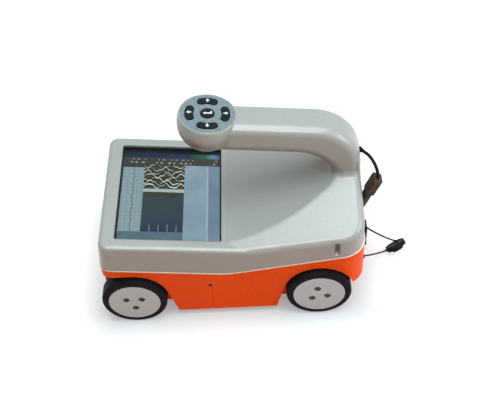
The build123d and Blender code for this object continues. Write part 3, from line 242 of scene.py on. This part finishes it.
# Pad print on the keys: a dull clean white, flat on the rubber
symbol_white = moulded("white_pad_print", "#D2D7D6", "#DDE1E0", 0.5, 0.5, 0.005)

# Moulded rubber of the cap, gland and cords: black, soft edges and a weak broad shine
black_rubber = moulded("black_moulded_rubber", "#0E0F10", "#191B1D", 0.6, 0.8, 0.04, shine=0.1)

# Moulded nylon of the small fittings: black and a little shinier than rubber
black_plastic = moulded("black_moulded_plastic", "#111214", "#1A1C1E", 0.45, 0.9, 0.03, shine=0.2)

# Phenolic plug body: brown that is near black in places, with paler tan patches painted in as highlights
plug_brown = moulded("brown_black_plug_plastic", "#2B211B", "#4E3E2F", 0.45, 5.0, 0.03, shine=0.2)

# Vulcanised tyre rubber: the darkest black on the object, with dust in its grain
tyre_rubber = moulded("black_tyre_rubber", "#08090B", "#121416", 0.6, 1.0, 0.05, shine=0.07)

# Moulded discs on the wheels: pale grey with a faint speckle, and a blue cast painted in as cool light,
# against the warm light from the floor
hub_grey = moulded("speckled_grey_hub_plastic", "#BCD6E8", "#CAE4F6", 0.5, 1.0, 0.03)

# Turned axle steel: bright and clean, with fine tool marks
steel = moulded("bright_turned_steel", "#B4B6B8", "#C6C8CA", 0.3, 0.5, 0.01, metallic=1.0)

# Black oxide on screw heads: dark, with pale specks painted in as glints of highlight
black_steel = moulded("black_oxide_steel", "#1A1C1E", "#85888B", 0.4, 1.5, 0.02, metallic=0.5,
                      contrast=(0.5, 0.68))

# Sintered bronze bushes: dull gold with pores
bronze = moulded("sintered_bronze", "#A87B45", "#BC8E55", 0.45, 0.6, 0.02, metallic=1.0)

# Bead-blasted aluminium of the inner boxes: even grey with a satin glow
aluminium = moulded("bead_blasted_aluminium", "#B9BBBD", "#CACCCD", 0.45, 0.5, 0.02, metallic=1.0)

# Solder mask on the boards: deep green, mottled over the tracks
circuit_board = moulded("green_solder_mask", "#0F4A2C", "#18603A", 0.4, 2.5, 0.03)

# Polyethylene of the sliding plate: milky white and waxy
slide_plastic = moulded("white_slide_plastic", "#D2D0C8", "#E0DED7", 0.4, 1.0, 0.02)

# Shrink wrap round the battery: black with soft creases
battery_black = moulded("black_battery_wrap", "#1A1C1F", "#26292D", 0.45, 1.4, 0.02)

FINISHES = {
    "silver_casing": silver, "orange_base": orange, "pale_seal": pale_seal, "black_seal": black_seal,
    "screen_glass": glass, "display": display_black, "keypad_blue_grey": panel_blue_grey,
    "black_rubber": black_rubber, "black_plastic": black_plastic, "tyre_rubber": tyre_rubber,
    "hub_grey": hub_grey, "steel": steel, "black_steel": black_steel, "bronze": bronze,
    "aluminium": aluminium, "circuit_board": circuit_board, "slide_plastic": slide_plastic,
    "battery_black": battery_black}

# Finishes of single nodes that differ from the rest of their slot
NODE_FINISHES = {
    "key_up": key_rubber, "key_down": key_rubber, "key_left": key_rubber, "key_right": key_rubber,
    "key_enter": key_rubber, "casing_screws": screw_steel(), "lead_plug": plug_brown}

# A slot's name is its material's name without the number of a copy
for name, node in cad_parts.items():
    for held in node.material_slots:
        held.material = NODE_FINISHES.get(name, FINISHES[held.material.name.split(".")[0]])


# Cords: the routes of the CAD tubes as control points of one smooth line each

HANDLE_LEAD = [(118.9, -2.3, 140.4), (122.0, -6.6, 141.3), (124.9, -11.0, 141.0), (127.4, -15.4, 139.1),
               (129.5, -18.9, 135.7), (130.9, -21.0, 131.0), (131.3, -21.4, 125.6)]
TETHER_UPPER = [(122.4, -26.6, 66.0), (125.6, -24.2, 60.3), (131.6, -19.7, 49.9), (140.2, -13.3, 36.1),
                (148.0, -7.5, 24.2), (154.4, -2.7, 15.0), (157.9, 0.0, 10.2)]
TETHER_LOWER = [(120.7, -42.4, 42.3), (124.1, -38.5, 37.6), (129.6, -30.8, 28.5), (135.5, -22.0, 18.6),
                (140.9, -14.4, 10.4), (145.4, -9.4, 5.6), (148.7, -7.8, 5.2)]

# Thicknesses of the cords, in metres
LEAD_THICK = 0.003
TETHER_THICK = 0.0016


def cord(name, node, route, diameter):
    """A round rubber cord along the route's own smooth line, in place of its CAD tube."""
    line = bpy.data.curves.new(name, "CURVE")
    line.dimensions = "3D"
    spline = line.splines.new("NURBS")
    spline.points.add(len(route) - 1)
    points = np.ones((len(route), 4))
    points[:, :3] = np.array(route) * MM
    spline.points.foreach_set("co", points.ravel())
    spline.order_u = 3
    spline.use_endpoint_u = True
    spline.resolution_u = 12
    line.bevel_depth = diameter / 2
    line.bevel_resolution = 5
    line.use_fill_caps = True
    line.materials.append(black_rubber)
    piece = bpy.data.objects.new(name, line)
    scene.collection.objects.link(piece)
    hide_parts(node)
    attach(piece, "chassis")


cord("lead_cord", "handle_lead", HANDLE_LEAD, LEAD_THICK)
cord("tether_cord_upper", "cap_tether_upper", TETHER_UPPER, TETHER_THICK)
cord("tether_cord_lower", "cap_tether_lower", TETHER_LOWER, TETHER_THICK)


# New pieces: grid surfaces in the tilted planes of the deck and of the key panel

# Middle of the screen in the deck's plane, middle of the key panel's face, how deep the picture lies
# under the deck, and how far print and thin lines stand off what carries them
DECK_CENTRE = np.array([-55.4, 0.0, 97.81])
PANEL_CENTRE = np.array([-13.449, 0.0, 190.732])
PICTURE_DEPTH = -5.3
INK_LIFT = 0.04


def on_plane(centre, across, along, lift):
    """Points of a tilted plane: across runs to the rear, along to the far side, lift square to it."""
    return centre + across[..., None] * BACK + along[..., None] * SIDE + lift * UP


def grid_piece(name, points, body, finish, uv=None, values=None):
    """A piece from rows by columns of points in millimetres, one quad to a cell. uv is the pattern's
    own map, and values a number at each point that the finish reads as the attribute echo."""
    rows, columns = points.shape[:2]
    index = np.arange(rows * columns).reshape(rows, columns)
    corners = [index[:-1, :-1], index[:-1, 1:], index[1:, 1:], index[1:, :-1]]
    cells = np.stack(corners, axis=-1).reshape(-1, 4)
    mesh = bpy.data.meshes.new(name)
    mesh.from_pydata((points.reshape(-1, 3) * MM).tolist(), [], cells.tolist())
    if uv is not None:
        layer = mesh.uv_layers.new(name="pattern")
        layer.data.foreach_set("uv", uv.reshape(-1, 2)[cells.ravel()].ravel())
    if values is not None:
        mesh.attributes.new("echo", "FLOAT", "POINT").data.foreach_set("value", values.ravel())
    mesh.materials.append(finish)
    piece = bpy.data.objects.new(name, mesh)
    scene.collection.objects.link(piece)
    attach(piece, body)


def pane(name, left, right, near, far, finish, lift=0.0, rows=2, columns=2, picture=None):
    """A flat part of the lit picture, in millimetres from the screen's centre. picture gives the echo
    strength from across and along."""
    steps = (np.linspace(near, far, rows), np.linspace(left, right, columns))
    along, across = np.meshgrid(*steps, indexing="ij")
    uv = np.stack([(across - left) / (right - left), (along - near) / (far - near)], axis=-1)
    values = None if picture is None else picture(across, along)
    points = on_plane(DECK_CENTRE, across, along, PICTURE_DEPTH + lift)
    grid_piece(name, points, "chassis", finish, uv, values)


def ribbon(path, half_widths):
    """Two edges of a flat line with mitred corners: each point of the path moves out by its half width
    along the mean normal of the runs beside it. Gives the edges' across and along values."""
    path = np.array(path, dtype=float)
    runs = np.diff(path, axis=0)
    runs /= np.linalg.norm(runs, axis=1, keepdims=True)
    normals = np.stack([-runs[:, 1], runs[:, 0]], axis=1)
    before = np.concatenate([normals[:1], normals])
    after = np.concatenate([normals, normals[-1:]])
    mean = before + after
    mean /= np.sum(mean * before, axis=1, keepdims=True)
    out = mean * np.array(half_widths, dtype=float)[:, None]
    edges = np.stack([path - out, path + out])
    return edges[..., 0], edges[..., 1]


# The lit picture, from the screen's centre: across it the trace, the scan over the depth field, the
# list and the side keys, and along it the foot, these fields, the tool row and the header

PICTURE_LEFT = -45.2
TRACE_HEAD_RIGHT = -28.0
SCAN_LEFT = -25.2
LIST_LEFT = 12.7
LIST_RIGHT = 33.4
KEYS_LEFT = 35.2
PICTURE_RIGHT = 45.8

PICTURE_NEAR = -54.3
FOOT_FAR = -45.0
DEPTH_FAR = -2.5
SCAN_LINE_NEAR = 3.2
SCAN_NEAR = 7.2
TRACE_FAR = 34.5
TOOLS_NEAR = 38.4
HEADER_NEAR = 48.2
PICTURE_FAR = 53.5

ECHO_ROWS = 7
ECHO_FAR_ROW = 37.0
ECHO_PITCH = 4.3
ECHO_HALF_WIDTH = 1.35
ECHO_LONG_WAVE = 15.0
ECHO_LONG_SWING = 3.0
ECHO_SHORT_WAVE = 6.3
ECHO_SHORT_SWING = 1.0
ECHO_SWELL = 4.1
ECHO_PHASE = 0.37
ECHO_GROUND = -0.45
ECHO_CONTRAST = 2.8

TRACE_ACROSS = -34.5
TRACE_HALF_WIDTH = 0.42
TRACE_CALM = 30.0
GRID_SPACING = 4.4
GRID_HALF_WIDTH = 0.3

# Middles of the tool marks across the screen, and of their two rows along it with each row's strength
TOOL_MARKS = [-38.0, -33.5, -27.0, -14.0, -9.5, -2.0, 2.5, 9.0, 13.5, 18.0, 40.5]
TOOL_ROWS = [(41.2, 0.85), (45.4, 0.4)]
TOOL_ROW_SHIFT = 1.9
TOOL_HALF_HEIGHT = 0.75

# Left edges of the lines on the depth field
MARKERS = [-17.5, -9.5, -1.5, 6.5]
MARKER_WIDTH = 0.5
MARKER_NEAR = -44.8
MARKER_FAR = -36.0


def zigzag(turns):
    """A triangle wave between minus one and one, once for each whole turn."""
    return 4 * np.abs(turns % 1 - 0.5) - 1


def scan_echoes(across, along):
    """Echoes of buried bars in rows. Each row's line is a long and a short triangle wave with phases of
    its own, so that rows cross, and across the line the echo is one bright band between two dark
    ones, the second derivative of a bell. Near rows are stronger, and each swells and fades along
    its line."""
    total = ECHO_GROUND
    for row in range(ECHO_ROWS):
        phase = ECHO_PHASE * row ** 2
        line = ECHO_FAR_ROW - ECHO_PITCH * row
        line = line + ECHO_LONG_SWING * zigzag(across / ECHO_LONG_WAVE + phase)
        line = line + ECHO_SHORT_SWING * zigzag(across / ECHO_SHORT_WAVE + 2.3 * phase)
        strength = (0.55 + 0.13 * row) * (0.9 + 0.5 * np.sin(across / ECHO_SWELL + 9.0 * phase))
        off = ((along - line) / ECHO_HALF_WIDTH) ** 2
        total = total + strength * (1 - 2 * off) * np.exp(-off)
    return 0.5 + 0.5 * np.tanh(ECHO_CONTRAST * total)


def trace_lines(across, along):
    """A faint square grid and one thin line that wanders about a straight one: a quick sine that calms
    away from the far end, and a slow one all along. Each line is a bell of the distance from it."""
    quick = 0.9 * np.sin(along * 0.9) * np.exp((along - TRACE_FAR) / TRACE_CALM)
    slow = 0.4 * np.sin(along * 0.37)
    trace = np.exp(-((across - TRACE_ACROSS - quick - slow) / TRACE_HALF_WIDTH) ** 2)
    grid = 0.0
    for place in (across, along):
        off = (place / GRID_SPACING + 0.5) % 1 - 0.5
        grid = grid + np.exp(-(off * GRID_SPACING / GRID_HALF_WIDTH) ** 2)
    return np.clip(1 - 0.75 * trace - 0.22 * grid, 0, 1)


def tool_marks(across, along):
    """Two rows of small marks, the far row fainter, each mark a bell of the distance from its middle,
    squared off, on a ground that ripples a little. The marks take three widths in turn."""
    total = 0.07 * (np.sin(across * 1.7) * np.sin(along * 2.1) + 1)
    for row, (row_along, strength) in enumerate(TOOL_ROWS):
        for number, middle in enumerate(TOOL_MARKS):
            half_width = 0.7 + 0.25 * ((number + row) % 3)
            beside = (across - middle - TOOL_ROW_SHIFT * row) / half_width
            beyond = (along - row_along) / TOOL_HALF_HEIGHT
            total = total + strength * np.exp(-beside ** 4 - beyond ** 4)
    return np.clip(total, 0, 1)


def depth_shade(across, along):
    """Falls from one at the far end of the depth field to zero at its near end, slowly at first."""
    return 1 - ((DEPTH_FAR - along) / (DEPTH_FAR - FOOT_FAR)) ** 2.5


# Finishes of the lit picture: flat colours that glow by themselves, on a face that is black when off

UNLIT = linear("#0B0C0E")


def light_up(tree, tint, socket):
    """Ends the tree of a lit part of the display: black when it is off, glowing in the tint when on."""
    shader = add(tree, "ShaderNodeBsdfPrincipled", {
        "Base Color": UNLIT, "Roughness": 0.5, "Specular IOR Level": 0.0,
        "Emission Color": (tint, socket), "Emission Strength": 1.0})
    add(tree, "ShaderNodeOutputMaterial", {"Surface": (shader, 0)})


def lit_pane(name, colour, tone, drift_size):
    """A lit part of the display in one colour that drifts a little between two tones over a real
    distance, as an uneven backlight does."""
    made, tree = new_material(name)
    place = add(tree, "ShaderNodeTexCoord")
    drift = add(tree, "ShaderNodeTexNoise", {
        "Vector": (place, "Object"), "Scale": per(drift_size), "Detail": 2.0})
    spread = add(tree, "ShaderNodeMapRange", {0: (drift, 0), 1: NOISE_LOW, 2: NOISE_HIGH})
    tint = add(tree, "ShaderNodeMix", {
        0: (spread, 0), 6: linear(colour), 7: linear(tone)}, data_type="RGBA")
    light_up(tree, tint, 2)
    return made


def lit_picture(name, low, high):
    """A lit part of the display that glows between two colours by the piece's own attribute."""
    made, tree = new_material(name)
    echo = add(tree, "ShaderNodeAttribute", attribute_name="echo")
    tint = add(tree, "ShaderNodeMix", {
        0: (echo, "Fac"), 6: linear(low), 7: linear(high)}, data_type="RGBA")
    light_up(tree, tint, 2)
    return made


def lit_header():
    """Header of the picture: navy, then a green field towards the right, and a pale blue end."""
    made, tree = new_material("display_header")
    place = add(tree, "ShaderNodeTexCoord")
    split = add(tree, "ShaderNodeSeparateXYZ", {0: (place, "UV")})
    ramp = add(tree, "ShaderNodeValToRGB", {0: (split, 0)})
    steps = [(0.0, "#1A2744"), (0.68, "#203056"), (0.71, "#1C4E3A"), (0.84, "#2E6250"),
             (0.93, "#5F8698"), (1.0, "#46627A")]
    while len(ramp.color_ramp.elements) < len(steps):
        ramp.color_ramp.elements.new(0.5)
    for element, (position, colour) in zip(ramp.color_ramp.elements, steps):
        element.position = position
        element.color = linear(colour)
    light_up(tree, ramp, 0)
    return made


# Navy and green header, the only strong colours of the picture
pane("screen_header", PICTURE_LEFT, PICTURE_RIGHT, HEADER_NEAR, PICTURE_FAR, lit_header())

# Near black tool row with small pale marks
tool_row = lit_picture("display_tool_row", "#161D1B", "#C2C9BE")
pane("screen_tools", PICTURE_LEFT, PICTURE_RIGHT, TOOLS_NEAR, HEADER_NEAR, tool_row,
     rows=34, columns=300, picture=tool_marks)

# Pale blue trace field with a dark wandering line, under a dark olive heading
trace_head = lit_pane("display_trace_head", "#2F372C", "#3C4536", 5.0)
trace_field = lit_picture("display_trace_field", "#3E4A52", "#8A9EA5")
pane("screen_trace_head", PICTURE_LEFT, TRACE_HEAD_RIGHT, TRACE_FAR, TOOLS_NEAR, trace_head)
pane("screen_trace", PICTURE_LEFT, SCAN_LEFT, FOOT_FAR, TRACE_FAR, trace_field,
     rows=260, columns=70, picture=trace_lines)

# Bright crossing echoes on black, with a pale band under them
scan_bands = lit_picture("display_scan_bands", "#171C18", "#D3D8CC")
scan_line = lit_pane("display_scan_line", "#A6B2AE", "#B3BEB9", 10.0)
pane("screen_scan", SCAN_LEFT, LIST_LEFT, SCAN_NEAR, TOOLS_NEAR, scan_bands,
     rows=110, columns=130, picture=scan_echoes)
pane("screen_scan_line", SCAN_LEFT, LIST_LEFT, SCAN_LINE_NEAR, SCAN_NEAR, scan_line)

# Dark slate depth field that turns to indigo at its near end, under a dark olive heading
depth_head = lit_pane("display_depth_head", "#323A2E", "#3C4438", 8.0)
depth_field = lit_picture("display_depth_field", "#28344C", "#35454A")
pane("screen_depth_head", SCAN_LEFT, LIST_LEFT, DEPTH_FAR, SCAN_LINE_NEAR, depth_head)
pane("screen_depth", SCAN_LEFT, LIST_LEFT, FOOT_FAR, DEPTH_FAR, depth_field,
     rows=30, columns=2, picture=depth_shade)

# Grey blue list with a paler edge, beside the darker blue side keys, and a teal foot
list_blue = lit_pane("display_list", "#7F97A4", "#8CA2B0", 20.0)
list_edge = lit_pane("display_list_edge", "#93A9B8", "#9DB1BF", 10.0)
side_keys = lit_pane("display_side_keys", "#688096", "#738CA1", 22.0)
foot_teal = lit_pane("display_foot", "#4D6872", "#5B757F", 10.0)
pane("screen_list", LIST_LEFT, LIST_RIGHT, PICTURE_NEAR, TOOLS_NEAR, list_blue)
pane("screen_list_edge", LIST_RIGHT, KEYS_LEFT, PICTURE_NEAR, TOOLS_NEAR, list_edge)
pane("screen_side_keys", KEYS_LEFT, PICTURE_RIGHT, PICTURE_NEAR, TOOLS_NEAR, side_keys)
pane("screen_foot", PICTURE_LEFT, LIST_LEFT, PICTURE_NEAR, FOOT_FAR, foot_teal)

# Thin pale lines that stand on the depth field's near edge, a long and a short one in turn
marker = lit_pane("display_marker_line", "#7E90A0", "#96A6B4", 3.0)
for number, left in enumerate(MARKERS):
    pane(f"screen_marker_{number + 1}", left, left + MARKER_WIDTH, MARKER_NEAR, MARKER_FAR - number % 2,
         marker, lift=INK_LIFT)


# White symbols printed on the keys

# How far the keys stand out of the panel, how far the arrows are from its middle and where they point
KEY_PROUD = 1.2
KEY_ARC_R = 15.7
ARROWS = {"key_up": (0, 1), "key_down": (0, -1), "key_left": (-1, 0), "key_right": (1, 0)}

# Points of each line and the half width at each. A head's full width starts one step past its neck
WIDTH_STEP = 0.001
ARROW_REACH = [-2.2, -0.2, -0.2 + WIDTH_STEP, 2.0]
ARROW_WIDTHS = [0.7, 0.7, 1.9, 0.02]
ENTER_PATH = [(3.2, 1.9), (3.2, -0.6), (-1.6, -0.6), (-1.6 - WIDTH_STEP, -0.6), (-3.8, -0.6)]
ENTER_WIDTHS = [0.7, 0.7, 0.7, 1.7, 0.02]


def printed_symbol(key, path, half_widths):
    """A symbol printed on a key: a flat line whose width follows the path and steps out at an arrow's
    head, where two points lie close together."""
    across, along = ribbon(path, half_widths)
    points = on_plane(PANEL_CENTRE, across, along, KEY_PROUD + INK_LIFT)
    grid_piece(key + "_symbol", points, key, symbol_white)


for key, toward in ARROWS.items():
    direction = np.array(toward, dtype=float)
    printed_symbol(key, [direction * (KEY_ARC_R + reach) for reach in ARROW_REACH], ARROW_WIDTHS)
printed_symbol("key_enter", ENTER_PATH, ENTER_WIDTHS)


# Stage: white floor and backdrop to the eye and to gloss, a warm floor and a soft sky to the object

# Half sizes of the floor and of the object's footprint, and the width of the shadow by it, in metres
FLOOR_REACH = 4.0
FOOTPRINT = (0.11, 0.065, 0.0)
GLOW_WIDTH = 0.06
GLOW_BY_OBJECT = 0.32
GLOW_AWAY = 0.72
SKY_POLE = (0.17, 0.0, 0.985)
SKY_STRENGTH = 1.6
LAMP_TARGET = Vector((0.0, 0.0, 0.08))


def background_rays(tree):
    """One for a ray from the eye, off gloss or through glass, and zero for rays that light the object."""
    ray = add(tree, "ShaderNodeLightPath")
    gloss = add(tree, "ShaderNodeMath", {
        0: (ray, "Is Camera Ray"), 1: (ray, "Is Glossy Ray")}, operation="MAXIMUM")
    return add(tree, "ShaderNodeMath", {
        0: (gloss, 0), 1: (ray, "Is Transmission Ray")}, operation="MAXIMUM")


def make_floor():
    """Paper lit from below, so that it is white and still keeps a shadow by the object: the glow rises
    with the distance from the object's footprint."""
    made, tree = new_material("white_studio_floor")
    seen = background_rays(tree)
    white = add(tree, "ShaderNodeBsdfDiffuse", {"Color": linear("#B0B2B2")})
    place = add(tree, "ShaderNodeTexCoord")
    reach = add(tree, "ShaderNodeVectorMath", {0: (place, "Object")}, operation="ABSOLUTE")
    beyond = add(tree, "ShaderNodeVectorMath", {0: (reach, 0), 1: FOOTPRINT}, operation="SUBTRACT")
    outside = add(tree, "ShaderNodeVectorMath", {
        0: (beyond, 0), 1: (0.0, 0.0, 0.0)}, operation="MAXIMUM")
    away = add(tree, "ShaderNodeVectorMath", {0: (outside, 0)}, operation="LENGTH")
    glow = add(tree, "ShaderNodeMapRange", {
        0: (away, "Value"), 1: 0.0, 2: GLOW_WIDTH, 3: GLOW_BY_OBJECT, 4: GLOW_AWAY},
        interpolation_type="SMOOTHSTEP")
    lift = add(tree, "ShaderNodeEmission", {"Color": linear("#FFFFFF"), "Strength": (glow, 0)})
    pale = add(tree, "ShaderNodeAddShader", {0: (white, 0), 1: (lift, 0)})
    warm = add(tree, "ShaderNodeBsdfDiffuse", {"Color": linear("#CC8042")})
    mixed = add(tree, "ShaderNodeMixShader", {0: (seen, 0), 1: (warm, 0), 2: (pale, 0)})
    add(tree, "ShaderNodeOutputMaterial", {"Surface": (mixed, 0)})
    corners = [(-FLOOR_REACH, -FLOOR_REACH, 0), (FLOOR_REACH, -FLOOR_REACH, 0),
               (FLOOR_REACH, FLOOR_REACH, 0), (-FLOOR_REACH, FLOOR_REACH, 0)]
    mesh = bpy.data.meshes.new("floor")
    mesh.from_pydata(corners, [], [(0, 1, 2, 3)])
    mesh.materials.append(made)
    floor = bpy.data.objects.new("floor", mesh)
    scene.collection.objects.link(floor)


def make_sky():
    """A room whose pale ceiling leans a little to the rear over brown walls. It lights the object, while
    the eye, gloss and glass see white."""
    world = bpy.data.worlds.new("studio")
    world.use_nodes = True
    tree = world.node_tree
    tree.nodes.clear()
    seen = background_rays(tree)
    place = add(tree, "ShaderNodeTexCoord")
    height = add(tree, "ShaderNodeVectorMath", {
        0: (place, "Generated"), 1: SKY_POLE}, operation="DOT_PRODUCT")
    rise = add(tree, "ShaderNodeMapRange", {0: (height, "Value"), 1: 0.5, 2: 0.88})
    tint = add(tree, "ShaderNodeMix", {
        0: (rise, 0), 6: linear("#3A2E24"), 7: linear("#D0DAD8")}, data_type="RGBA")
    sky = add(tree, "ShaderNodeBackground", {"Color": (tint, 2), "Strength": SKY_STRENGTH})
    white = add(tree, "ShaderNodeBackground", {"Color": linear("#FFFFFF"), "Strength": 1.0})
    mixed = add(tree, "ShaderNodeMixShader", {0: (seen, 0), 1: (sky, 0), 2: (white, 0)})
    add(tree, "ShaderNodeOutputWorld", {"Surface": (mixed, 0)})
    scene.world = world


def soft_box(name, azimuth, elevation, distance, width, height, power, colour, gloss_only=False):
    """A flat lamp that looks at the middle of the object from a bearing and a height in degrees, at a
    distance in metres. Bearing 0 is the near side, and 90 is behind the handle. With gloss_only it
    gives highlights alone."""
    turn = radians(azimuth)
    rise = radians(elevation)
    away = Vector((sin(turn) * cos(rise), -cos(turn) * cos(rise), sin(rise)))
    made = bpy.data.lights.new(name, "AREA")
    made.shape = "RECTANGLE"
    made.size = width
    made.size_y = height
    made.energy = power
    made.color = linear(colour)[:3]
    lamp = bpy.data.objects.new(name, made)
    lamp.location = LAMP_TARGET + away * distance
    lamp.rotation_euler = away.to_track_quat("Z", "Y").to_euler()
    lamp.visible_diffuse = not gloss_only
    scene.collection.objects.link(lamp)


make_floor()
make_sky()

# Two broad lamps overhead, a strip for the highlights along the near edges, and a cool one at the rear
soft_box("key_lamp", 85.0, 74.0, 1.3, 1.0, 1.0, 8.4, "#F2F9F8")
soft_box("top_lamp", -5.0, 78.0, 1.3, 1.2, 1.0, 7.8, "#ECF6FF")
soft_box("strip_lamp", 0.0, 50.0, 1.1, 1.0, 0.14, 6.5, "#FFF6EC", gloss_only=True)
soft_box("rear_lamp", 70.0, 20.0, 0.75, 0.4, 0.3, 2.0, "#DCEAFF")
